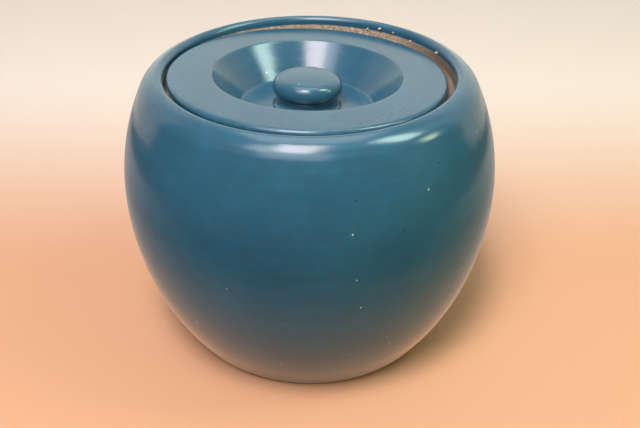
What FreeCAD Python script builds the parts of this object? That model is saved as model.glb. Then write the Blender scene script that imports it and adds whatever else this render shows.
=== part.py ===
import FreeCAD, Part
import math
import os
import re

import Sketcher

# A round-bellied stoneware butter crock with a sunken lid.  Millimetres, +Z up, the pot's foot on z = 0
# and its turning axis on the Z axis.  Every section below is drawn in the XZ plane as (radius, height)
# and turned once around Z, as the pot was on the wheel.

SIZES = [
    # name, value in mm (the lid's two tips in degrees), what it measures
    ("belly_radius", 115.0, "widest radius of the pot"),
    ("belly_height", 103.0, "height of the widest place"),
    ("foot_radius", 80.0, "outer radius of the flat foot ring"),
    ("foot_width", 11.0, "width of the turned foot ring"),
    ("foot_recess", 2.5, "how far the underside is turned up inside the foot ring"),
    ("foot_round", 1.5, "rounding of the foot ring's inner edge"),
    ("foot_curl", 5.3, "rounding where the wall curls under to the foot ring"),
    ("wall", 8.0, "thickness of the pot's wall"),
    ("floor_thickness", 9.0, "thickness of the pot's floor"),
    ("floor_round", 14.0, "inside rounding where the floor meets the wall"),
    ("pot_height", 175.5, "height of the pot to the top of the lip"),
    ("mouth_radius", 85.6, "inside radius of the lip, above the seat"),
    ("lip_radius", 3.4, "rounding of the lip's inner side"),
    ("brow_run", 11.5, "how far before the lip the shoulder starts to turn over, at the brow"),
    ("brow_bulge", 2.8, "how far the brow stands out of a plain curve from the belly to the lip"),
    ("lip_drop", 3.3, "from the top of the lip down to the middle of the lid's top face"),
    ("seat_width", 12.5, "width of the seat that the lid rests on"),
    ("seat_depth", 5.0, "thickness of the seat at its inner edge"),
    ("seat_flare", 15.0, "height over which the seat's underside runs out to the wall"),
    ("seat_round", 1.6, "rounding of the seat's inner edges"),
    ("lid_gap", 2.7, "space between the lid's edge and the lip when the lid is centred"),
    ("lid_offset", 1.4, "how far the loose lid lies off the pot's centre"),
    ("lid_tip", 2.4, "how far the loose lid tips out of level, in degrees"),
    ("lid_tip_towards", 54.0, "the side that it tips down to, in degrees from +X towards +Y"),
    ("lid_thickness", 6.0, "thickness of the lid's flange, well and floor"),
    ("lid_edge_round", 2.6, "rounding of the flange's outer edge"),
    ("well_radius", 56.6, "radius of the well where it leaves the flange"),
    ("well_floor_radius", 39.8, "radius of the well's flat floor"),
    ("well_depth", 20.1, "from the flange's top face down to the well's floor"),
    ("well_edge_round", 1.2, "rounding where the flange turns down into the well"),
    ("well_floor_round", 1.5, "rounding where the well meets its floor"),
    ("knob_foot_radius", 20.8, "radius of the clay collar where it meets the well's floor"),
    ("knob_foot_height", 4.2, "height of that collar"),
    ("knob_neck_radius", 17.6, "radius of the neck above the collar"),
    ("knob_bead_height", 5.2, "height of the bead around the neck"),
    ("knob_bead_width", 1.2, "width of the bead"),
    ("knob_bead_bulge", 0.4, "how far the bead stands out of the neck"),
    ("knob_head_start", 6.2, "height where the head leaves the neck"),
    ("knob_radius", 20.9, "widest radius of the head"),
    ("knob_girth_height", 11.0, "height of the head's widest place"),
    ("knob_top_radius", 18.8, "radius of the head's flat top"),
    ("knob_top_height", 16.8, "height of the flat top's edge"),
    ("knob_dome", 1.3, "how far the top is domed"),
    ("knob_top_round", 2.2, "rounding of the top's edge"),
]

# Values that follow from the sizes, each worked out by the document itself.  A "bend" is the radius of
# an arc; r and z are a point of the section.
FOLLOWING = [
    # The foot: a small curl, and one arc that is upright at the belly and runs smoothly into the curl.
    ("foot_inner_r", "foot_radius - foot_width"),
    ("foot_reach", "belly_radius - foot_radius"),
    ("lower_bend",
     "(foot_reach^2 + (belly_height - foot_curl)^2 - foot_curl^2) / (2 * (foot_reach - foot_curl))"),
    ("curl_share", "foot_curl / (lower_bend - foot_curl)"),
    ("curl_end_r", "foot_radius + curl_share * (lower_bend - foot_reach)"),
    ("curl_end_z", "foot_curl - curl_share * (belly_height - foot_curl)"),
    # A plain shoulder would be one arc, upright at the belly and smooth into the round of the lip.
    ("lip_centre_r", "mouth_radius + lip_radius"),
    ("lip_centre_z", "pot_height - lip_radius"),
    ("plain_rise", "lip_centre_z - belly_height"),
    ("plain_reach", "belly_radius - lip_centre_r"),
    ("plain_bend",
     "(plain_rise^2 + plain_reach^2 - lip_radius^2) / (2 * (plain_reach - lip_radius))"),
    ("plain_facing_r", "(plain_bend - plain_reach) / (plain_bend - lip_radius)"),
    ("plain_facing_z", "plain_rise / (plain_bend - lip_radius)"),
    # The brow stands a little out of that arc, so the real shoulder is flatter and ends there.
    ("brow_out", "sqrt((plain_bend + brow_bulge)^2 - brow_run^2)"),
    ("brow_r",
     "belly_radius - plain_bend + brow_out * plain_facing_r + brow_run * plain_facing_z"),
    ("brow_z", "belly_height + brow_out * plain_facing_z - brow_run * plain_facing_r"),
    ("shoulder_rise", "brow_z - belly_height"),
    ("shoulder_reach", "belly_radius - brow_r"),
    ("shoulder_bend", "(shoulder_rise^2 + shoulder_reach^2) / (2 * shoulder_reach)"),
    # From there a tighter arc runs smoothly on into the round of the lip.
    ("brow_facing_r", "1 - shoulder_reach / shoulder_bend"),
    ("brow_facing_z", "shoulder_rise / shoulder_bend"),
    ("lip_to_brow_r", "brow_r - lip_centre_r"),
    ("lip_to_brow_z", "brow_z - lip_centre_z"),
    ("brow_bend",
     "(lip_to_brow_r^2 + lip_to_brow_z^2 - lip_radius^2)"
     " / (2 * (lip_to_brow_r * brow_facing_r + lip_to_brow_z * brow_facing_z - lip_radius))"),
    ("lip_share", "lip_radius / (brow_bend - lip_radius)"),
    ("lip_outer_r", "lip_centre_r + lip_share * (brow_bend * brow_facing_r - lip_to_brow_r)"),
    ("lip_outer_z", "lip_centre_z + lip_share * (brow_bend * brow_facing_z - lip_to_brow_z)"),
    # The lid: it tips until its edge touches the seat on one side.
    ("lid_r", "mouth_radius - lid_gap"),
    ("lid_z", "pot_height - lip_drop - lid_thickness * cos(lid_tip)"),
    ("tip_lift", "(lid_r - lid_edge_round) * sin(lid_tip) + lid_edge_round * (1 - cos(lid_tip))"),
    ("seat_z", "lid_z - tip_lift"),
    ("seat_r", "mouth_radius - seat_width"),
    ("seat_under_z", "seat_z - seat_depth"),
    ("flare_z", "seat_under_z - seat_flare"),
    ("pot_floor_z", "foot_recess + floor_thickness"),
    # The lid's own heights start at the underside of its flange.  Its underside follows its top at
    # the same thickness, square to the slope of the well, so it stands further out by well_shift.
    ("well_floor_z", "lid_thickness - well_depth"),
    ("well_under_z", "well_floor_z - lid_thickness"),
    ("well_run", "well_radius - well_floor_radius"),
    ("well_shift", "lid_thickness * (sqrt(well_run^2 + well_depth^2) - well_run) / well_depth"),
]

# The sheet and the set of variables that hold these values, by the value's name.
HOLDER = {name: "Sizes" for name, *_ in SIZES} | {name: "Following" for name, _ in FOLLOWING}


def formula(text):
    """Puts its holder before each value's name: wall becomes Sizes.wall."""
    known = r"\b(" + "|".join(HOLDER) + r")\b"
    return re.sub(known, lambda name: f"{HOLDER[name[0]]}.{name[0]}", text)


def make_sheet(doc):
    """The driving dimensions, one row each, with the name as the cell's alias."""
    sheet = doc.addObject("Spreadsheet::Sheet", "Sizes")
    for row, (name, value, note) in enumerate(SIZES, start=1):
        sheet.set(f"A{row}", name)
        sheet.set(f"B{row}", str(value))
        sheet.setAlias(f"B{row}", name)
        sheet.set(f"C{row}", note)
    doc.recompute()


def make_following(doc):
    """A set of variables, each bound to the formula that gives it."""
    values = doc.addObject("App::VarSet", "Following")
    for name, text in FOLLOWING:
        values.addProperty("App::PropertyFloat", name)
        values.setExpression(name, formula(text))
    doc.recompute()


def inner_wall(bend, height):
    """Radius of the inside of the wall at a height, where the outside is an arc of this bend."""
    return f"(belly_radius - {bend} + sqrt(({bend} - wall)^2 - ({height} - belly_height)^2))"


def upright_bend(reach, rise):
    """Radius of an arc that starts upright and moves this far sideways over this rise."""
    return f"((({rise})^2 + ({reach})^2) / (2 * ({reach})))"


# ---- Sketches and features ----------------------------------------------------------------------------

class Section:
    """A closed section in a body's XZ plane, whose corners and bends are bound to the sheet."""

    def __init__(self, body, name):
        self.sketch = body.newObject("Sketcher::SketchObject", name)
        plane = [f for f in body.Origin.OriginFeatures if f.Role == "XZ_Plane"][0]
        self.sketch.AttachmentSupport = (plane, [""])
        self.sketch.MapMode = "FlatFace"
        self.corners = []

    def number(self, text):
        return float(self.sketch.evalExpression(text))

    def corner(self, label, radius, height, bend=None, bulge="out"):
        """Adds a corner; bend gives the arc that leads to it, bulging out of or into the clay."""
        radius, height, bend = formula(radius), formula(height), bend and formula(bend)
        point = FreeCAD.Vector(self.number(radius), self.number(height), 0)
        self.corners.append((label, point, radius, height, bend, bulge))

    def build(self):
        count = len(self.corners)
        for i in range(count):
            self.sketch.addGeometry(self.edge(i), False)
        for i in range(count):
            self.join(i, (i + 1) % count)
            self.bind(i)
        return self.sketch

    def edge(self, i):
        """The line or arc from the corner before to this one."""
        start, end = self.corners[i - 1][1], self.corners[i][1]
        bend, bulge = self.corners[i][4:]
        if bend is None:
            return Part.LineSegment(start, end)
        radius = self.number(bend)
        half = (end - start) * 0.5
        right = FreeCAD.Vector(half.y, -half.x, 0).normalize()
        sag = radius - math.sqrt(radius**2 - half.Length**2)
        if bulge == "out":
            return Part.Arc(start, start + half + right * sag, end)
        return Part.Arc(end, start + half - right * sag, start)

    def ends(self, i):
        """The sketch's point numbers of an edge's first and last point along the section.

        A sketch counts every arc anticlockwise, so an arc that bulges into the clay runs backwards.
        """
        return (2, 1) if self.corners[i][5] == "in" else (1, 2)

    def join(self, first, second):
        self.sketch.addConstraint(
            Sketcher.Constraint("Coincident", first, self.ends(first)[1], second, self.ends(second)[0])
        )

    def bind(self, i):
        label, point, radius, height, bend, _ = self.corners[i]
        end = self.ends(i)[1]
        self.constrain(f"{label}_r", ("DistanceX", -1, 1, i, end), point.x, radius)
        self.constrain(f"{label}_z", ("DistanceY", -1, 1, i, end), point.y, height)
        if bend is not None:
            self.constrain(f"{label}_bend", ("Radius", i), self.number(bend), bend)

    def constrain(self, name, parts, value, text):
        index = self.sketch.addConstraint(Sketcher.Constraint(*parts, value))
        self.sketch.renameConstraint(index, name)
        self.sketch.setExpression(f"Constraints.{name}", text)


def turned_body(doc, label, draw):
    """A body made by turning one section, drawn by the given function, around the Z axis."""
    body = doc.addObject("PartDesign::Body", label)
    body.Label = label
    section = Section(body, f"{label}_section")
    draw(section)
    sketch = section.build()
    turn = body.newObject("PartDesign::Revolution", f"{label}_turned")
    turn.Profile = sketch
    turn.ReferenceAxis = (sketch, ["V_Axis"])
    turn.Angle = 360.0
    sketch.Visibility = False
    doc.recompute()
    return body


def round_edges(doc, body, name, radius, circles):
    """Fillets the turned edges that run through these (radius, height) points of the section."""
    base = body.Tip
    fillet = body.newObject("PartDesign::Fillet", name)
    wanted = [[float(base.evalExpression(formula(text))) for text in circle] for circle in circles]
    fillet.Base = (base, [edge_name(base.Shape, r, z) for r, z in wanted])
    fillet.setExpression("Radius", formula(radius))
    doc.recompute()


def edge_name(shape, radius, height):
    """The name of the round edge at this radius and height, in a body not yet placed."""
    for i, edge in enumerate(shape.Edges, start=1):
        if not isinstance(edge.Curve, Part.Circle):
            continue
        near = abs(edge.Curve.Radius - radius) < 1e-4 and abs(edge.Curve.Center.z - height) < 1e-4
        if near:
            return f"Edge{i}"
    raise ValueError(f"no round edge at radius {radius:.3f}, height {height:.3f}")


def place_tipped(body, height):
    """Puts a body on the lid's tipped axis, this far above the middle of the flange's underside."""
    along = f"{height} * sin(lid_tip)"
    place = (
        f"vector({along} * cos(lid_tip_towards) - lid_offset;"
        f" {along} * sin(lid_tip_towards); lid_z + {height} * cos(lid_tip))"
    )
    turn = "rotation(vector(-sin(lid_tip_towards); cos(lid_tip_towards); 0); lid_tip)"
    body.setExpression("Placement", formula(f"placement({place}; {turn})"))


# ---- The pieces ---------------------------------------------------------------------------------------

def draw_pot(section):
    """Foot, outside, lip, seat and inside of the pot, all of one thrown wall."""
    section.corner("under_centre", "0", "foot_recess")
    section.corner("foot_recess", "foot_inner_r", "foot_recess")
    section.corner("foot_inner", "foot_inner_r", "0")
    section.corner("foot_outer", "foot_radius", "0")
    section.corner("curl_end", "curl_end_r", "curl_end_z", bend="foot_curl")
    section.corner("belly", "belly_radius", "belly_height", bend="lower_bend")
    section.corner("brow", "brow_r", "brow_z", bend="shoulder_bend")
    section.corner("lip_outer", "lip_outer_r", "lip_outer_z", bend="brow_bend")
    section.corner("lip_inner", "mouth_radius", "lip_centre_z", bend="lip_radius")
    section.corner("seat_outer", "mouth_radius", "seat_z")
    section.corner("seat_inner", "seat_r", "seat_z")
    section.corner("seat_under", "seat_r", "seat_under_z")
    section.corner("seat_flare", inner_wall("shoulder_bend", "flare_z"), "flare_z")
    section.corner(
        "inner_belly", "belly_radius - wall", "belly_height", bend="shoulder_bend - wall", bulge="in"
    )
    floor_r = inner_wall("lower_bend", "pot_floor_z")
    section.corner("inner_floor", floor_r, "pot_floor_z", bend="lower_bend - wall", bulge="in")
    section.corner("floor_centre", "0", "pot_floor_z")


def make_pot(doc):
    body = turned_body(doc, "crock_body", draw_pot)
    round_edges(doc, body, "foot_rounded", "foot_round", [("foot_inner_r", "0")])
    seat_edges = [("seat_r", "seat_z"), ("seat_r", "seat_under_z")]
    round_edges(doc, body, "seat_rounds", "seat_round", seat_edges)
    floor_corner = (inner_wall("lower_bend", "pot_floor_z"), "pot_floor_z")
    round_edges(doc, body, "floor_round_inside", "floor_round", [floor_corner])
    return body


def draw_lid(section):
    """A flat flange, a steep well and the well's flat floor, all of one thickness."""
    section.corner("under_floor_centre", "0", "well_under_z")
    section.corner("under_floor_edge", "well_floor_radius + well_shift", "well_under_z")
    section.corner("under_flange", "well_radius + well_shift", "0")
    section.corner("rim_under", "lid_r", "0")
    section.corner("rim_top", "lid_r", "lid_thickness")
    section.corner("well_edge", "well_radius", "lid_thickness")
    section.corner("well_floor_edge", "well_floor_radius", "well_floor_z")
    section.corner("well_floor_centre", "0", "well_floor_z")


def make_lid(doc):
    body = turned_body(doc, "lid_dish", draw_lid)
    rim = [("lid_r", "0"), ("lid_r", "lid_thickness")]
    round_edges(doc, body, "rim_rounds", "lid_edge_round", rim)
    well_edge = [("well_radius", "lid_thickness")]
    round_edges(doc, body, "well_edge_rounded", "well_edge_round", well_edge)
    floor_edge = [("well_floor_radius", "well_floor_z")]
    round_edges(doc, body, "well_floor_rounded", "well_floor_round", floor_edge)
    place_tipped(body, "0")
    return body


def draw_knob(section):
    """A mushroom knob on a small sloping clay collar, with a faint bead around its neck."""
    bead_low = "knob_bead_height - knob_bead_width / 2"
    bead_high = "knob_bead_height + knob_bead_width / 2"
    half_bead = "knob_bead_width / 2"
    head_out = "knob_radius - knob_neck_radius"
    head_low = "knob_girth_height - knob_head_start"
    head_high = "knob_top_height - knob_girth_height"
    top_in = "knob_radius - knob_top_radius"
    section.corner("base_centre", "0", "0")
    section.corner("collar_foot", "knob_foot_radius", "0")
    section.corner("collar_top", "knob_neck_radius", "knob_foot_height")
    section.corner("bead_low", "knob_neck_radius", bead_low)
    section.corner(
        "bead_high", "knob_neck_radius", bead_high, bend=upright_bend("knob_bead_bulge", half_bead)
    )
    section.corner("head_start", "knob_neck_radius", "knob_head_start")
    section.corner(
        "head_girth", "knob_radius", "knob_girth_height", bend=upright_bend(head_out, head_low)
    )
    section.corner(
        "head_edge", "knob_top_radius", "knob_top_height", bend=upright_bend(top_in, head_high)
    )
    section.corner(
        "head_top", "0", "knob_top_height + knob_dome", bend=upright_bend("knob_dome", "knob_top_radius")
    )


def make_knob(doc):
    body = turned_body(doc, "lid_knob", draw_knob)
    top_edge = [("knob_top_radius", "knob_top_height")]
    round_edges(doc, body, "top_rounded", "knob_top_round", top_edge)
    place_tipped(body, "well_floor_z")
    return body


# ---- Checking and writing -----------------------------------------------------------------------------

def check(doc, bodies):
    failed = [o.Name for o in doc.Objects if "Invalid" in o.State or "Error" in o.State]
    if failed:
        raise RuntimeError(f"failed to rebuild: {failed}")
    for body in bodies:
        shape = body.Shape
        if shape.isNull() or not shape.isValid() or len(shape.Solids) != 1:
            raise RuntimeError(f"{body.Label} is not one valid solid")


def report(doc, bodies):
    for name in ("lower_bend", "shoulder_bend", "brow_bend", "brow_r", "brow_z", "seat_z"):
        print(f"{name:14s} {getattr(doc.Following, name):8.2f}")
    for body in bodies:
        box = body.Shape.optimalBoundingBox()
        print(
            f"{body.Label:12s} volume {body.Shape.Volume / 1000:8.2f} cm3"
            f"  x {box.XMin:.2f} {box.XMax:.2f}  z {box.ZMin:.2f} {box.ZMax:.2f}"
        )


def main():
    doc = FreeCAD.newDocument("butter_crock")
    make_sheet(doc)
    make_following(doc)
    bodies = [make_pot(doc), make_lid(doc), make_knob(doc)]
    doc.recompute()
    check(doc, bodies)
    report(doc, bodies)
    os.makedirs("parts", exist_ok=True)
    for body in bodies:
        body.Shape.exportStep(f"parts/{body.Label}.step")


main()
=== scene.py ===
# %% [markdown]
# # A glazed butter crock
# The real object is a stoneware crock, thrown on a wheel, with a lid sunk inside its lip and a mushroom
# knob in the lid's well. The CAD frame already holds its three solids. Here each one gets a finer
# turned mesh of the same section, and then the glaze, the bare clay and the light that make it look
# fired.

import math

import bmesh
import bpy
from mathutils import Matrix, Vector, noise


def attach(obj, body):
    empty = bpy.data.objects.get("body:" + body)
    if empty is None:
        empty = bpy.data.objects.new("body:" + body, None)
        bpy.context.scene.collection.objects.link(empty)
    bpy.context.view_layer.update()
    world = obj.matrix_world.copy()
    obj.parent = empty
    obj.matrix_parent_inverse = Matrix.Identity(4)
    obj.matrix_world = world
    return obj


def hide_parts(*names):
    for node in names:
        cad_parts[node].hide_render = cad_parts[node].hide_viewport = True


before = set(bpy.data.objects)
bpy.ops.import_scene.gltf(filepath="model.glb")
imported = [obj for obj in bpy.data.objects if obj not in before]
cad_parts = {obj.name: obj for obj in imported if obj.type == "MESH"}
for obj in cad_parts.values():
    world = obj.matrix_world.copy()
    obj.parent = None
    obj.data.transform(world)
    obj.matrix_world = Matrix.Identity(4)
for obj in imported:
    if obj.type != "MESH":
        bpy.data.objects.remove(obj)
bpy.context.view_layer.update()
MM = 0.001      # one millimetre, in metres
print("nodes of the frame:", sorted(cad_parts))

# %% [markdown]
# ## The camera
# A camera close to a round pot sees it from above, and makes its foot look smaller than its belly.
# That matters more than the shape's last millimetre, so the camera is set first. It could be aimed by a
# constraint, but three turns say plainly how it is held: a camera looks down its own -Z axis, so it is
# tipped up from there, turned to its side, and rolled by a hair.

# %% Camera
CAMERA_PLACE = (0.0, -0.4420, 0.3587)
LOOK_DOWN, LOOK_RIGHT, ROLL = 32.96, 0.84, 0.36     # degrees
LENS, SENSOR = 45.0, 36.0                           # mm


def turn(degrees, axis):
    """A turn about an axis, as a matrix."""
    return Matrix.Rotation(math.radians(degrees), 4, axis)


camera = bpy.data.objects.new("camera", bpy.data.cameras.new("camera"))
camera.data.lens, camera.data.sensor_width = LENS, SENSOR
camera.matrix_world = (
    Matrix.Translation(CAMERA_PLACE) @ turn(-LOOK_RIGHT, "Z") @ turn(90 - LOOK_DOWN, "X") @ turn(ROLL, "Z")
)
bpy.context.scene.collection.objects.link(camera)
bpy.context.scene.camera = camera
print("camera at", tuple(camera.location))

# %% [markdown]
# ## Turning a section
# A thrown pot is one outline turned round an axis. The outline could be a list of points, but then its
# arcs would be hard to change. Here a single vertex is walked round the section: a line extrudes it, and
# an arc spins it about the arc's own centre. One more spin, round Z, turns the outline into the pot.

# %% Walk an outline
TURNS = 256             # facets round a piece: fine enough that its edge looks round
WELD = 0.001 * MM       # points closer than this become one


def bearing(centre, radius, height):
    """Direction of a point of the section from an arc's centre, in degrees above the level."""
    return math.degrees(math.atan2(height - centre[1], radius - centre[0]))


class Outline:
    """The section of a turned piece in the XZ plane, in mm, walked by one vertex."""

    def __init__(self, radius, height):
        self.bm = bmesh.new()
        self.tip = self.bm.verts.new((radius * MM, 0, height * MM))

    def line(self, radius, height, parts=1):
        """A straight run to this radius and height."""
        step = (Vector((radius * MM, 0, height * MM)) - self.tip.co) / parts
        for _ in range(parts):
            self.tip = bmesh.ops.extrude_vert_indiv(self.bm, verts=[self.tip])["verts"][0]
            self.tip.co += step

    def arc(self, centre, end, parts):
        """An arc about a centre, as far as this bearing."""
        start = bearing(centre, self.tip.co.x / MM, self.tip.co.z / MM)
        spun = bmesh.ops.spin(
            self.bm, geom=[self.tip], cent=(centre[0] * MM, 0, centre[1] * MM), axis=(0, 1, 0),
            angle=math.radians(start - end), steps=parts,
        )
        self.tip = [g for g in spun["geom_last"] if isinstance(g, bmesh.types.BMVert)][0]


# %% Turn it into a closed skin
def turned(outline):
    """Spins the outline once round Z, closes its poles and points its faces outwards."""
    bm = outline.bm
    bmesh.ops.spin(
        bm, geom=bm.verts[:] + bm.edges[:], axis=(0, 0, 1),
        angle=math.tau, steps=TURNS, use_merge=True,
    )
    bmesh.ops.remove_doubles(bm, verts=bm.verts, dist=WELD)
    bmesh.ops.recalc_face_normals(bm, faces=bm.faces)
    return bm


# %% Round its corners
NEAR = 0.02 * MM        # a point this close to a corner of the section is on it


def ring(bm, radius, height):
    """The edges of one corner that runs round a turned piece."""
    def on_it(v):
        return abs(v.co.xy.length - radius * MM) < NEAR and abs(v.co.z - height * MM) < NEAR
    return [e for e in bm.edges if all(on_it(v) for v in e.verts)]


def round_off(bm, radius, height, width, segments=6):
    """Rounds such a corner, as a wet sponge does."""
    bmesh.ops.bevel(
        bm, geom=ring(bm, radius, height), offset=width * MM, affect="EDGES",
        segments=segments, profile=0.5, material=-1,
    )


# %% [markdown]
# ## The hand in it
# A machine-perfect surface makes a highlight with perfectly straight edges, which is how a render gives
# itself away. A hand-finished pot wavers by a fraction of a millimetre. A bump could bend the highlight,
# but would leave the outline perfect. So the skin itself is pressed in by smooth noise, and never out,
# which keeps the piece inside its CAD box.

# %% Waver
def waver(bm, depth, size):
    """Presses the skin in by up to depth mm, in soft patches about size mm across."""
    bm.normal_update()
    for v in bm.verts:
        press = 0.5 + 0.5 * noise.noise(v.co / (size * MM))
        v.co -= v.normal * depth * MM * press


# %% Finish a piece
def finished(bm, name, body, replaced=None):
    """Makes the piece's object, at the origin, parents it to its body's empty and hides the CAD part it
    takes the place of, if any.
    """
    mesh = bpy.data.meshes.new(name)
    bm.to_mesh(mesh)
    bm.free()
    mesh.shade_smooth()
    piece = bpy.data.objects.new(name, mesh)
    bpy.context.scene.collection.objects.link(piece)
    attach(piece, body)
    if replaced:
        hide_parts(replaced)
    print(f"{name}: {sum(len(p.vertices) - 2 for p in mesh.polygons)} triangles")
    return piece


# %% [markdown]
# ## The pot
# One wall runs from the foot out to the belly, in over the shoulder and a tighter brow to the round
# lip, down the gallery where the lid sits, and back down the inside. Every arc runs smoothly into the
# next, so the centres follow from the sizes: two arcs that touch have their centres in line. A curve
# drawn by eye would be quicker, but each later change would then leave a dent in the highlight.

# %% Sizes of the pot, in mm
BELLY_R, BELLY_Z = 115.0, 103.0
FOOT_R, FOOT_WIDTH, FOOT_RECESS, CURL = 80.0, 11.0, 2.5, 5.3
WALL, FLOOR, FLOOR_ROUND = 8.0, 9.0, 14.0
MOUTH_R, TOP, LIP = 85.6, 175.5, 3.4
BROW_RUN, BROW_BULGE = 11.5, 2.8
SEAT_WIDTH, SEAT_DEPTH, SEAT_FLARE = 12.5, 5.0, 15.0
FOOT_EDGE, SEAT_EDGE, SEAT_UNDER_EDGE = 1.2, 1.6, 1.4

# %% Arcs of its outside
curl_at, lip_at = Vector((FOOT_R, CURL)), Vector((MOUTH_R + LIP, TOP - LIP))
rise, reach = BELLY_Z - CURL, BELLY_R - FOOT_R
lower = (rise ** 2 + reach ** 2 - CURL ** 2) / (2 * (reach - CURL))
lower_at = Vector((BELLY_R - lower, BELLY_Z))

# A plain shoulder would be one arc from the belly to the lip; the brow stands a little out of it.
rise, reach = lip_at.y - BELLY_Z, BELLY_R - lip_at.x
plain = (rise ** 2 + reach ** 2 - LIP ** 2) / (2 * (reach - LIP))
plain_at = Vector((BELLY_R - plain, BELLY_Z))
facing = (lip_at - plain_at).normalized()
brow_out = math.sqrt((plain + BROW_BULGE) ** 2 - BROW_RUN ** 2)
brow = plain_at + facing * brow_out + Vector((facing.y, -facing.x)) * BROW_RUN

rise, reach = brow.y - BELLY_Z, BELLY_R - brow.x
shoulder = (rise ** 2 + reach ** 2) / (2 * reach)
shoulder_at = Vector((BELLY_R - shoulder, BELLY_Z))
facing, apart = (brow - shoulder_at) / shoulder, brow - lip_at
brow_bend = (apart.length_squared - LIP ** 2) / (2 * (apart.dot(facing) - LIP))
brow_at = brow - facing * brow_bend
print(f"bends: lower wall {lower:.1f} mm, shoulder {shoulder:.1f} mm, brow {brow_bend:.1f} mm")

# %% How the loose lid lies
LID_GAP, LID_THICK, LID_DROP, LID_ROUND = 2.7, 6.0, 3.3, 2.6
LID_R = MOUTH_R - LID_GAP
LID_X, TIP, TIP_TOWARDS = -1.4, math.radians(2.4), math.radians(54)
lid_z = TOP - LID_DROP - LID_THICK * math.cos(TIP)
seat_z = lid_z - (LID_R - LID_ROUND) * math.sin(TIP) - LID_ROUND * (1 - math.cos(TIP))
seat_r = MOUTH_R - SEAT_WIDTH
lid_lie = Matrix.Translation((LID_X * MM, 0, lid_z * MM)) @ Matrix.Rotation(
    TIP, 4, (-math.sin(TIP_TOWARDS), math.cos(TIP_TOWARDS), 0)
)
print(f"seat at {seat_z:.1f} mm, middle of the lid's underside at {lid_z:.1f} mm")


# %% Where the inside runs
def inside_r(bend, height):
    """Radius of the inside of the wall at this height."""
    return BELLY_R - bend + math.sqrt((bend - WALL) ** 2 - (height - BELLY_Z) ** 2)


flare_z = seat_z - SEAT_DEPTH - SEAT_FLARE
floor_z = FOOT_RECESS + FLOOR
corner_z = floor_z + FLOOR_ROUND - BELLY_Z
corner_at = (
    BELLY_R - lower + math.sqrt((lower - WALL - FLOOR_ROUND) ** 2 - corner_z ** 2), floor_z + FLOOR_ROUND
)
print(f"inside: floor at {floor_z:.1f} mm, flat out to a radius of {corner_at[0]:.1f} mm")

# %% Throw the pot
# The last number of a run says in how many parts it is walked, which keeps the faces near square.
pot = Outline(0, FOOT_RECESS)
pot.line(FOOT_R - FOOT_WIDTH, FOOT_RECESS, 8)
pot.line(FOOT_R - FOOT_WIDTH, 0)
pot.line(FOOT_R, 0, 3)
pot.arc(curl_at, bearing(lower_at, *curl_at), 10)
pot.arc(lower_at, 0, 56)
pot.arc(shoulder_at, bearing(shoulder_at, *brow), 36)
pot.arc(brow_at, bearing(brow_at, *lip_at), 14)
pot.arc(lip_at, 180, 14)
pot.line(MOUTH_R, seat_z, 3)
pot.line(seat_r, seat_z, 5)
pot.line(seat_r, seat_z - SEAT_DEPTH, 2)
pot.line(inside_r(shoulder, flare_z), flare_z, 6)
pot.arc(shoulder_at, 0, 20)
pot.arc(lower_at, bearing(lower_at, *corner_at), 30)
pot.arc(corner_at, -90, 8)
pot.line(0, floor_z, 16)
print(f"section of the pot: {len(pot.bm.verts)} points")

# %% Soften its corners
bm = turned(pot)
round_off(bm, FOOT_R - FOOT_WIDTH, 0, FOOT_EDGE)
round_off(bm, seat_r, seat_z, SEAT_EDGE)
round_off(bm, seat_r, seat_z - SEAT_DEPTH, SEAT_UNDER_EDGE)
waver(bm, depth=0.25, size=60)
glazed_pot = finished(bm, "glazed_pot", "crock", "crock_body")

# %% [markdown]
# ## The lid
# A flat flange drops into a steep well with a flat floor. The clay is equally thick everywhere, so the
# underside is the top moved square to itself. A sheet could be thickened for that by a modifier, but
# then it has no corners of its own to round. The lid is drawn level, with the underside of its flange
# at 0, and then laid as it lies: loose, a little to one side and not quite level.

# %% Turn the lid
WELL_R, WELL_FLOOR_R, WELL_DEPTH = 56.6, 39.8, 20.1
FLANGE_EDGE, FLOOR_EDGE = 0.6, 0.8
well_z = LID_THICK - WELL_DEPTH
run = WELL_R - WELL_FLOOR_R
shift = LID_THICK * (math.hypot(run, WELL_DEPTH) - run) / WELL_DEPTH

lid = Outline(0, well_z - LID_THICK)
lid.line(WELL_FLOOR_R + shift, well_z - LID_THICK, 12)
lid.line(WELL_R + shift, 0, 10)
lid.line(LID_R, 0, 5)
lid.line(LID_R, LID_THICK)
lid.line(WELL_R, LID_THICK, 8)
lid.line(WELL_FLOOR_R, well_z, 14)
lid.line(0, well_z, 20)

bm = turned(lid)
round_off(bm, LID_R, 0, LID_ROUND)
round_off(bm, LID_R, LID_THICK, LID_ROUND, segments=8)
round_off(bm, WELL_R, LID_THICK, FLANGE_EDGE)
round_off(bm, WELL_FLOOR_R, well_z, FLOOR_EDGE)
bmesh.ops.transform(bm, matrix=lid_lie, verts=bm.verts)
waver(bm, depth=0.2, size=45)
glazed_lid = finished(bm, "glazed_lid", "lid", "lid_dish")

# %% [markdown]
# ## The knob
# The knob was thrown apart and stuck to the well's floor: a hollowed collar of wet clay, a neck with one
# faint bead, and a head that swells and turns in again to an almost flat top. Each swelling is an arc
# that is upright where it is widest. The shoulder could be a bevel, but it is wide and catches a
# highlight of its own, so it is walked as an arc that touches both its neighbours.

# %% Sizes of the knob, in mm
COLLAR_R = 20.8
NECK_R, BEAD_Z, BEAD_HALF, BEAD_BULGE = 17.6, 5.2, 0.6, 0.4
HEAD_Z, KNOB_R, GIRTH_Z = 6.2, 20.9, 11.0
CROWN_R, CROWN_Z, DOME, SHOULDER = 18.8, 16.8, 1.3, 5.5
knob_lie = lid_lie @ Matrix.Translation((0, 0, well_z * MM))


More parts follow.
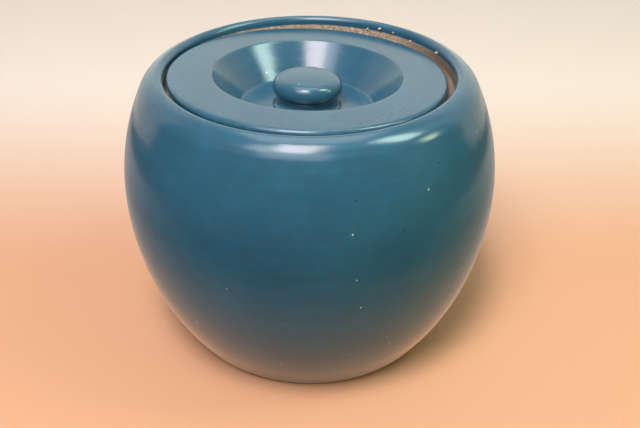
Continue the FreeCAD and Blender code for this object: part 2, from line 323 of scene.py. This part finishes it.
def swell(outline, widest, level, reach, rise, radius, height, parts):
    """An arc to this radius and height, upright at its widest, where it moves in by reach over rise."""
    bend = (rise ** 2 + reach ** 2) / (2 * reach)
    centre = (widest - bend, level)
    outline.arc(centre, bearing(centre, radius, height), parts)


# %% Turn the knob, its foot on z = 0
knob = Outline(0, 0)
knob.line(COLLAR_R, 0, 6)
knob.arc((COLLAR_R, COLLAR_R - NECK_R), -180, 8)      # hollow, so its centre is outside the clay
knob.line(NECK_R, BEAD_Z - BEAD_HALF, 3)
swell(knob, NECK_R + BEAD_BULGE, BEAD_Z, BEAD_BULGE, BEAD_HALF, NECK_R, BEAD_Z + BEAD_HALF, 8)
knob.line(NECK_R, HEAD_Z, 2)
swell(knob, KNOB_R, GIRTH_Z, KNOB_R - NECK_R, GIRTH_Z - HEAD_Z, KNOB_R, GIRTH_Z, 12)

# The shoulder's middle lies where the side and the dome, both drawn smaller by its radius, would cross.
rise, reach = CROWN_Z - GIRTH_Z, KNOB_R - CROWN_R
side = (rise ** 2 + reach ** 2) / (2 * reach)
dome = (CROWN_R ** 2 + DOME ** 2) / (2 * DOME)
side_at, dome_at = Vector((KNOB_R - side, GIRTH_Z)), Vector((0, CROWN_Z + DOME - dome))
apart = dome_at - side_at
along = (apart.length_squared + (side - SHOULDER) ** 2 - (dome - SHOULDER) ** 2) / (2 * apart.length)
across = math.sqrt((side - SHOULDER) ** 2 - along ** 2)
facing = apart.normalized()
shoulder_mid = side_at + facing * along + Vector((-facing.y, facing.x)) * across
knob.arc(side_at, bearing(side_at, *shoulder_mid), 10)
knob.arc(shoulder_mid, bearing(dome_at, *shoulder_mid), 12)
knob.arc(dome_at, 90, 16)

bm = turned(knob)
bmesh.ops.transform(bm, matrix=knob_lie, verts=bm.verts)
waver(bm, depth=0.15, size=16)
glazed_knob = finished(bm, "glazed_knob", "lid", "lid_knob")

# %% [markdown]
# ## Colours and nodes
# A colour picker gives sRGB values, but a shader works in linear light, so one function turns one into
# the other. Another adds a node with its settings and links, which keeps each recipe below short
# enough to read. Patterns read Object coordinates, so they stay put on the clay when a piece moves.

# %% Helpers for materials
def linear(hex_text):
    """The linear colour of an sRGB hex value."""
    parts = [int(hex_text[i:i + 2], 16) / 255 for i in (1, 3, 5)]
    return tuple(p / 12.92 if p <= 0.04045 else ((p + 0.055) / 1.055) ** 2.4 for p in parts) + (1.0,)


def node(tree, kind, sockets=None, **settings):
    """Adds a node; each socket, by name or number, takes a value, another node or its output."""
    made = tree.nodes.new("ShaderNode" + kind)
    for name, value in settings.items():
        setattr(made, name, value)
    for name, value in (sockets or {}).items():
        socket = made.inputs[name] if isinstance(name, int) else next(
            s for s in made.inputs if s.name == name and s.enabled
        )
        if isinstance(value, bpy.types.Node):
            value = next(s for s in value.outputs if s.enabled)
        if isinstance(value, bpy.types.NodeSocket):
            tree.links.new(value, socket)
        else:
            socket.default_value = value
    return made


def new_material(name):
    """An empty material and its node tree."""
    material = bpy.data.materials.new(name)
    material.use_nodes = True
    material.node_tree.nodes.clear()
    return material, material.node_tree


# %% [markdown]
# ## Where the glaze stops
# A potter wipes the glaze off where the lid rests, so that the lid doesn't melt onto the seat, and the
# glaze runs thin over edges. A mask could be painted for that, but it would need an unwrapped mesh.
# Both kinds of zone follow the turned shape, so the shader works out each point's radius and height,
# and a zone is an ellipse in that section, made ragged by a little noise.

# %% Zones of a turned piece
RAGGED_SIZE, RAGGED_BY = 3.5, 1.6      # mm: how wide and how deep the notches in a zone's edge are


def section_place(tree, place):
    """Each point as (radius, 0, height) in mm, shaken so that a zone's edge comes out ragged."""
    flat = node(tree, "VectorMath", {0: place, 1: (1, 1, 0)}, operation="MULTIPLY")
    radius = node(tree, "VectorMath", {0: flat}, operation="LENGTH")
    height = node(tree, "SeparateXYZ", {0: place}).outputs["Z"]
    section = node(tree, "CombineXYZ", {"X": radius, "Z": height})
    shake = node(tree, "TexNoise", {
        "Vector": place, "Scale": 1 / RAGGED_SIZE, "Detail": 4, "Roughness": 0.7,
    })
    centred = node(
        tree, "VectorMath", {0: shake.outputs["Color"], 1: (0.5, 0.5, 0.5)}, operation="SUBTRACT"
    )
    moved = node(tree, "VectorMath", {0: centred, "Scale": RAGGED_BY}, operation="SCALE")
    return node(tree, "VectorMath", {0: section, 1: moved}, operation="ADD")


def zones(tree, section, places, soft):
    """1 inside any of the ellipses (radius, height, reach across, reach up), in mm, and 0 outside."""
    inside = None
    for radius, height, across, up in places:
        offset = node(tree, "VectorMath", {0: section, 1: (radius, 0, height)}, operation="SUBTRACT")
        scaled = node(tree, "VectorMath", {0: offset, 1: (1 / across, 0, 1 / up)}, operation="MULTIPLY")
        far = node(tree, "VectorMath", {0: scaled}, operation="LENGTH")
        near = node(tree, "MapRange", {"Value": far, "From Min": 1 + soft, "From Max": 1 - soft})
        inside = node(tree, "Math", {0: inside, 1: near}, operation="MAXIMUM") if inside else near
    return inside


# %% [markdown]
# ## The glaze
# Satin stoneware glaze is a thin sheet of slightly cloudy glass, coloured by copper and cobalt and
# fired over brown clay. It is uneven in thickness, so its blue drifts over a few centimetres and is
# duller in small spots. The brush leaves faint level streaks and the fingers leave rings. It breaks
# paler over edges, and it holds a few pits and specks of ash. A picture could be wrapped round the
# pot, but it would shrink towards the poles, so each of these is a noise of its own real size.

# %% Patterns in the glaze
PATTERNS = {
    # name: size round and up the pot in mm, detail, roughness
    "drift": (38, 38, 5, 0.6),       # thicker and thinner glaze
    "mottle": (7, 7, 3, 0.5),        # cloudy spots
    "streaks": (45, 1.6, 4, 0.6),    # the brush
    "rings": (160, 7, 2, 0.5),       # the thrower's fingers
    "peel": (3.2, 3.2, 3, 0.6),      # the skin of the glass
    "grit": (1.1, 1.1, 4, 0.75),     # grains in the clay; real ones are half that, too fine to show
}


def patterns_at(tree, place):
    """The patterns by name, each a value around 0.5, at a place in mm."""
    seen = {}
    for name, (across, up, detail, roughness) in PATTERNS.items():
        sized = node(tree, "Mapping", {"Vector": place, "Scale": (1 / across, 1 / across, 1 / up)})
        seen[name] = node(tree, "TexNoise", {
            "Vector": sized, "Scale": 1, "Detail": detail, "Roughness": roughness,
        })
    return seen


def dots(tree, place, every, reach, core):
    """Dots about every mm apart: 1 within core mm of a dot's middle and 0 beyond reach mm."""
    cell = node(tree, "TexVoronoi", {"Vector": place, "Scale": 1 / every})
    return node(tree, "MapRange", {"Value": cell, "From Min": reach / every, "From Max": core / every})


print("patterns:", ", ".join(f"{name} {size[0]} x {size[1]} mm" for name, size in PATTERNS.items()))

# %% [markdown]
# ## The glaze's colour
# Thick glaze is the deepest blue. Every other colour is laid over it as a layer whose strength comes
# from a pattern, which is how the kiln makes them too: thinner glass lets more clay through, and a pit
# or a speck covers what is under it.

# %% Layers of the glaze
DEEP_GLAZE, EDGE_GLAZE = linear("#1B445A"), linear("#66736F")
PIT, SPECK = linear("#0C181E"), linear("#B9C3BC")
GLAZE_LAYERS = [
    # pattern, its value where the layer starts and where it is full, the most of it, its colour
    ("drift", 0.3, 0.7, 1, linear("#204D64")),
    ("streaks", 0.45, 0.75, 0.06, linear("#4C7684")),
    ("mottle", 0.4, 0.75, 0.45, linear("#24424F")),
]
EDGE_MOST = 0.12        # the clay never shows through more than this


def glaze_colour(tree, seen, thin_mask, pit, speck):
    """The colour of the glass, layer over layer."""
    tint = DEEP_GLAZE
    for name, start, full, most, colour in GLAZE_LAYERS:
        amount = node(tree, "MapRange", {
            "Value": seen[name], "From Min": start, "From Max": full, "To Max": most,
        })
        tint = node(tree, "Mix", {"Factor": amount, "A": tint, "B": colour}, data_type="RGBA")
    broken = node(tree, "MapRange", {
        "Value": seen["peel"], "From Min": 0.3, "From Max": 0.7, "To Max": EDGE_MOST,
    })
    edge = node(tree, "Math", {0: thin_mask, 1: broken}, operation="MULTIPLY")
    for amount, colour in ((edge, EDGE_GLAZE), (pit, PIT), (speck, SPECK)):
        tint = node(tree, "Mix", {"Factor": amount, "A": tint, "B": colour}, data_type="RGBA")
    return tint


# %% [markdown]
# ## The clay's colour
# Bare stoneware is matt and gritty, and here it is darker towards one side, +X. Three materials on parts
# of the mesh could show glaze, clay and the darker side, but the borders would follow faces. A ramp over
# the grit gives the clay its three browns, and the darker side comes in by the place alone.

# %% Clay, darker at one side
DARK_CLAY, CLAY, PALE_CLAY = linear("#544438"), linear("#A58F7A"), linear("#D2C2AE")
DARKER_FROM, DARKER_TO, DARKER_MOST = 54, 80, 0.8      # mm along X, and its strength


def clay_colour(tree, place, grit):
    """Gritty clay, darker towards +X."""
    clay = node(tree, "ValToRGB", {"Fac": grit})
    ramp = clay.color_ramp.elements
    ramp[0].position, ramp[0].color = 0.36, DARK_CLAY
    ramp[1].position, ramp[1].color = 0.68, PALE_CLAY
    ramp.new(0.52).color = CLAY
    side = node(tree, "SeparateXYZ", {"Vector": place}).outputs["X"]
    # The clay turns darker towards +X, by the place alone.
    darker_side = node(tree, "MapRange", {
        "Value": side, "From Min": DARKER_FROM, "From Max": DARKER_TO, "To Max": DARKER_MOST,
    })
    return node(tree, "Mix", {"Factor": darker_side, "A": clay, "B": DARK_CLAY}, data_type="RGBA")


# %% [markdown]
# ## Relief and gloss
# Fired glass has a skin like an orange's, and a highlight shows it long before the outline does. Such
# relief is only tenths of a millimetre deep, too fine for the mesh, so it is a bump. Glass has an IOR
# of about 1.5; this glaze is rich in metal oxides, which raises it. It is satin because tiny crystals
# dull it, a little more in some streaks than in others, and bare clay has hardly any gloss.

# %% Relief of the surface
RELIEF = {"peel": 0.025, "grit": 0.01, "streaks": 0.005, "rings": 0.12}     # mm
PIT_DEPTH, CLAY_RELIEF = 0.1, 0.35                                          # mm


def relief(tree, seen, pit, bare_mask):
    """A bump from all the heights that add up on the surface."""
    grain = node(tree, "Math", {0: seen["grit"], 1: bare_mask}, operation="MULTIPLY")
    heights = [(seen[name], height) for name, height in RELIEF.items()]
    total = 0.0
    for pattern, height in heights + [(pit, -PIT_DEPTH), (grain, CLAY_RELIEF)]:
        total = node(tree, "Math", {0: pattern, 1: height, 2: total}, operation="MULTIPLY_ADD")
    return node(tree, "Bump", {"Height": total, "Strength": 1, "Distance": MM})


# %% The glaze's recipe
GLAZE_IOR, SATIN, MATT = 1.7, (0.15, 0.23), 0.85
BARE_SOFT, THIN_SOFT = 0.06, 0.5        # how softly a zone ends, as a share of its reach
# Pits and specks, in mm: how far apart, how far they reach, and their core. Real ones are about half
# as wide, which would be too fine to show.
PITS, SPECKS = (13, 0.585, 0.39), (15, 0.51, 0.33)


def glaze(name, lie, bare, thin):
    """Satin teal glaze with its bare and its thin zones, on a turned piece that was laid by a matrix."""
    material, tree = new_material(name)
    place = node(tree, "Mapping", {
        "Vector": node(tree, "TexCoord").outputs["Object"],
        "Location": lie.translation, "Rotation": lie.to_euler(), "Scale": (MM, MM, MM),
    }, vector_type="TEXTURE")
    section = section_place(tree, place)
    bare_mask = zones(tree, section, bare, BARE_SOFT)
    thin_mask = zones(tree, section, thin, THIN_SOFT)
    seen = patterns_at(tree, place)
    pit = dots(tree, place, *PITS)
    elsewhere = node(tree, "VectorMath", {0: place, 1: (37, 11, 5)}, operation="ADD")
    speck = dots(tree, elsewhere, *SPECKS)

    tint = node(tree, "Mix", {
        "Factor": bare_mask, "A": glaze_colour(tree, seen, thin_mask, pit, speck),
        "B": clay_colour(tree, place, seen["grit"]),
    }, data_type="RGBA")
    satin = node(tree, "MapRange", {
        "Value": seen["streaks"], "From Min": 0.3, "From Max": 0.7, "To Min": SATIN[0], "To Max": SATIN[1],
    })
    rough = node(tree, "Mix", {"Factor": bare_mask, "A": satin, "B": MATT}, data_type="FLOAT")
    shader = node(tree, "BsdfPrincipled", {
        "Base Color": tint, "Roughness": rough, "IOR": GLAZE_IOR,
        "Normal": relief(tree, seen, pit, bare_mask),
    })
    node(tree, "OutputMaterial", {"Surface": shader})
    print(f"{name}: {len(tree.nodes)} nodes")
    return material


# %% Glaze the three pieces
# Each zone is (radius, height, reach across, reach up), in mm.
glazed_pot.data.materials.append(glaze(
    "satin_teal_glaze_pot", Matrix(),
    bare=[(78, seat_z + 1.5, 14, 6.9), (75, 0, 6.5, 2.2)],      # the gallery and seat, the foot ring
    thin=[(89, TOP, 4, 1.4), (80, 1, 3, 3)],                    # the lip, the curl at the foot
))
glazed_lid.data.materials.append(glaze(
    "satin_teal_glaze_lid", lid_lie,
    bare=[(72, 0, 12, 2.2)],                                    # the underside that rests on the seat
    # The flange's rim, the edge of the well and the corner of its floor.
    thin=[(LID_R - 0.6, 5.4, 1.6, 1.6), (WELL_R, 6, 1.2, 1.2), (WELL_FLOOR_R, well_z, 1.5, 1.0)],
))
glazed_knob.data.materials.append(glaze(
    "satin_teal_glaze_knob", knob_lie,
    bare=[(0, 0, 18, 0.4)],                                     # the face that is stuck down
    thin=[(CROWN_R, CROWN_Z, 1.6, 1.2), (NECK_R, BEAD_Z, 0.8, 0.6)],      # the crown, the bead
))

# %% [markdown]
# ## Crumbs
# A few dry crumbs cling to the bare clay inside the lip, where the lid doesn't reach them. They could
# be specks of colour, but they stand out of the wall and catch the light. So each is a small ball,
# sunk a third into it and pulled out of round by noise. They are dry and matt, and paler in places.

# %% Crumbs on the gallery
CRUMBS = (
    # azimuth in degrees, radius and depth under the top of the lip in mm
    (22, 1.1, 4.2), (40, 1.0, 5.4), (50, 0.6, 3.4), (57, 1.2, 2.9), (63, 0.9, 4.6),
)
STAND_OUT = 0.3                             # how far its middle is off the wall, as a share of its radius
ROUND, LUMP, LUMP_SIZE = 0.8, 0.5, 0.7      # how round and how lumpy, as shares, and the lumps' size in mm

crumbs = bmesh.new()
for azimuth, size, under in CRUMBS:
    middle = turn(azimuth, "Z") @ Vector(((MOUTH_R - STAND_OUT * size) * MM, 0, (TOP - under) * MM))
    ball = bmesh.ops.create_icosphere(
        crumbs, subdivisions=2, radius=size * MM, matrix=Matrix.Translation(middle)
    )
    for v in ball["verts"]:
        lumpy = ROUND + LUMP * noise.noise(v.co / (LUMP_SIZE * MM))
        v.co = middle + (v.co - middle) * lumpy
dry_crumbs = finished(crumbs, "dry_crumbs", "crock")

# %% What the crumbs are made of
CRUMB_GRAIN, CRUMB_ROUGH = 0.5, 0.9         # mm, and no gloss

material, tree = new_material("dry_crumb")
place = node(tree, "TexCoord").outputs["Object"]
place = node(tree, "Mapping", {"Vector": place, "Scale": (MM, MM, MM)}, vector_type="TEXTURE")
grain = node(tree, "TexNoise", {"Vector": place, "Scale": 1 / CRUMB_GRAIN, "Detail": 3})
tint = node(tree, "Mix", {
    "Factor": grain, "A": linear("#8C765E"), "B": linear("#C9B296"),
}, data_type="RGBA")
shader = node(tree, "BsdfPrincipled", {"Base Color": tint, "Roughness": CRUMB_ROUGH})
node(tree, "OutputMaterial", {"Surface": shader})
dry_crumbs.data.materials.append(material)
print(f"{len(CRUMBS)} crumbs of {material.name}")

# %% [markdown]
# ## Floor and backdrop
# A small set has no corners: a floor that curves up into a wall all round, turned like the pot. Its
# paper is peach under the pot, cream further off and grey behind the viewer. A flat colour would be
# simpler, but the peach warms the pot's lower wall as a wooden table would, and the cream keeps the
# outline of the lip clear.

# %% Paper for the set
PAPER_BANDS = (
    # where along Y a colour starts and where it is full, in m, how it comes in, the colour
    (0.02, 0.4, "SMOOTHSTEP", "#BFB6AF"),
    (0.9, 1.4, "LINEAR", "#EAEEEA"),
    (-0.5, -1.0, "LINEAR", "#6A6764"),
)

paper, tree = new_material("pale_paper")
depth = node(tree, "SeparateXYZ", {"Vector": node(tree, "TexCoord").outputs["Object"]}).outputs["Y"]
tint = linear("#AF8469")
for start, full, easing, colour in PAPER_BANDS:
    amount = node(
        tree, "MapRange", {"Value": depth, "From Min": start, "From Max": full}, interpolation_type=easing
    )
    tint = node(tree, "Mix", {"Factor": amount, "A": tint, "B": linear(colour)}, data_type="RGBA")
shader = node(tree, "BsdfPrincipled", {"Base Color": tint, "Roughness": 0.6, "Specular IOR Level": 0.2})
node(tree, "OutputMaterial", {"Surface": shader})
print(f"{paper.name}: {len(PAPER_BANDS) + 1} colours")

# %% [markdown]
# ## The card that gloss sees
# A glossy pot would show all of that floor as a wide pale band. So gloss sees the wall behind, and in
# place of the floor a glowing card: dark under the foot, where the pot stands in its own shade, bright
# just around it, fading to black further out, and lit again behind the pot. In a studio that is black
# paper with a hole for the pot. It could be lit by a lamp, but a glow is easier to place.

# %% Card for gloss
SHADE_R, SHADE_END_R, SHADE_LEAST = 0.078, 0.089, 0.1       # m: the dark ring at the foot
GLOW_R, GLOW_END_R, GLOW_FALL, GLOW = 0.09, 0.3, 1.6, 0.92  # m: the bright ring around it
BACK_Y, BACK_FULL_Y, BACK_GLOW = -0.2, 0.2, 0.7             # m: the part behind the pot

card, tree = new_material("card_for_gloss")
place = node(tree, "TexCoord").outputs["Object"]
away = node(tree, "VectorMath", {0: place}, operation="LENGTH")
depth = node(tree, "SeparateXYZ", {"Vector": place}).outputs["Y"]
near = node(tree, "MapRange", {
    "Value": away, "From Min": GLOW_R, "From Max": GLOW_END_R, "To Min": 1, "To Max": 0,
})
near = node(tree, "Math", {0: near, 1: GLOW_FALL}, operation="POWER")
behind = node(tree, "MapRange", {
    "Value": depth, "From Min": BACK_Y, "From Max": BACK_FULL_Y, "To Max": BACK_GLOW,
})
power = node(tree, "Math", {0: near, 1: GLOW, 2: behind}, operation="MULTIPLY_ADD")
shade = node(tree, "MapRange", {
    "Value": away, "From Min": SHADE_R, "From Max": SHADE_END_R, "To Min": SHADE_LEAST,
})
power = node(tree, "Math", {0: power, 1: shade}, operation="MULTIPLY")
tint = node(tree, "Mix", {
    "Factor": near, "A": linear("#F4E4D8"), "B": linear("#F0B48C"),
}, data_type="RGBA")
shader = node(tree, "Emission", {"Color": tint, "Strength": power})
node(tree, "OutputMaterial", {"Surface": shader})
print(f"{card.name}: {len(tree.nodes)} nodes")

# %% [markdown]
# ## Building the set
# The sweep is cut in two along a plane behind the pot, because the halves are seen by different rays:
# gloss sees only the half behind. Each half could be a mesh of its own making, but a cut keeps them
# exactly in line. The card lies a hair under the floor, and only gloss sees it.

# %% Sweep and card
SET_R, SET_BEND, SET_H, WALL_Y = 1300, 300, 2000, 400      # mm
CARD_R, CARD_Z = 500, -0.2                                 # mm


def stage_piece(bm, name, material):
    """One object of the set, which isn't part of the crock."""
    mesh = bpy.data.meshes.new(name)
    bm.to_mesh(mesh)
    bm.free()
    mesh.shade_smooth()
    mesh.materials.append(material)
    part = bpy.data.objects.new(name, mesh)
    bpy.context.scene.collection.objects.link(part)
    return part


for name, behind in (("set_behind", True), ("set_in_front", False)):
    sweep = Outline(0, 0)
    sweep.line(SET_R, 0, 6)
    sweep.arc((SET_R, SET_BEND), 0, 12)
    sweep.line(SET_R + SET_BEND, SET_H)
    bm = turned(sweep)
    bmesh.ops.bisect_plane(
        bm, geom=bm.verts[:] + bm.edges[:] + bm.faces[:], plane_co=(0, WALL_Y * MM, 0),
        plane_no=(0, 1, 0), clear_inner=behind, clear_outer=not behind,
    )
    stage_piece(bm, name, paper).visible_glossy = behind

sheet = Outline(0, CARD_Z)
sheet.line(CARD_R, CARD_Z)
gloss_card = stage_piece(turned(sheet), "gloss_card", card)
gloss_card.visible_camera = gloss_card.visible_diffuse = gloss_card.visible_shadow = False
print(f"set: a sweep {2 * (SET_R + SET_BEND) / 1000} m across, a card {2 * CARD_R / 1000} m across")

# %% [markdown]
# ## Light
# Glossy glaze shows the lamps themselves, so their shape and place matter as much as their power. One
# set of lamps could do both jobs, but then every change to a highlight would change the shadow too. So
# a small key, a larger ceiling lamp and a low yellow bounce light the set, and gloss doesn't see them.
# A skylight is seen by gloss alone and greys the flat lid. Four panels and a low window draw the
# highlights, and light the set a little as well: the long panel draws the white streak on the shoulder
# and the left one carries it on, the front one lays a wide sheen, the right one draws the greenish
# streak, and the window the glint beside it.

# %% Lamps
AIM = Vector((0, 0, 0.17))      # the middle of the lid
ALL_LAMPS = []


def softbox(name, place, width, depth, power, tint="#FFFFFF"):
    """A soft lamp at a place in m, with a width and depth in m and a power in W, aimed at the lid."""
    data = bpy.data.lights.new(name, "AREA")
    data.shape, data.size, data.size_y = "RECTANGLE", width, depth
    data.energy, data.color = power, linear(tint)[:3]
    lamp = bpy.data.objects.new(name, data)
    away = Vector(place) - AIM
    lamp.matrix_world = Matrix.Translation(place) @ away.to_track_quat("Z", "Y").to_matrix().to_4x4()
    lamp.visible_camera = False
    bpy.context.scene.collection.objects.link(lamp)
    ALL_LAMPS.append(lamp)
    return lamp


softbox("key", (-0.2, -0.62, 1.75), 0.3, 0.3, 16, "#FFFAF5").visible_glossy = False
softbox("ceiling", (-0.4, -0.95, 1.55), 0.6, 0.5, 29, "#FFFAF5").visible_glossy = False
softbox("low_bounce", (0.85, -0.38, 0.3), 0.4, 0.3, 2.8, "#DCE850").visible_glossy = False
softbox("skylight", (0, 0.38, 1.87), 1.2, 0.9, 6.5).visible_diffuse = False
softbox("long_panel", (-0.13, -0.58, 1.57), 0.5, 0.72, 11.5, "#FFF2F2")
softbox("left_panel", (-0.6, -0.62, 1.57), 0.38, 0.6, 2.2, "#FCF8FF")
softbox("front_panel", (-0.3, -1.45, 1.57), 1.4, 0.8, 6)
softbox("right_panel", (1.02, -0.14, 1.5), 0.4, 0.66, 8.2, "#E2FFF0")
softbox("low_window", (1.08, -0.16, 0.66), 0.2, 0.2, 1.0, "#ECFFC0")
print("lamps:", ", ".join(f"{lamp.name} {lamp.data.energy:.1f} W" for lamp in ALL_LAMPS))

# %% [markdown]
# ## The room's own light
# A little light comes from all round, more from above than from the sides, which keeps the shade from
# going black. The Standard view shows the colours as they are, without a film's curve over them.

# %% World
WORLD_LOW, WORLD_HIGH = 0.08, 0.4

world = bpy.data.worlds.new("room")
world.use_nodes = True
tree = world.node_tree
up = node(tree, "SeparateXYZ", {"Vector": node(tree, "TexCoord").outputs["Generated"]}).outputs["Z"]
glow = node(tree, "MapRange", {
    "Value": up, "From Min": 0.1, "From Max": 0.9, "To Min": WORLD_LOW, "To Max": WORLD_HIGH,
})
tree.links.new(glow.outputs[0], tree.nodes["Background"].inputs["Strength"])
tree.nodes["Background"].inputs["Color"].default_value = linear("#E8EEF2")
bpy.context.scene.world = world
bpy.context.scene.view_settings.view_transform = "Standard"
print(f"world: {WORLD_LOW} at the sides to {WORLD_HIGH} above")
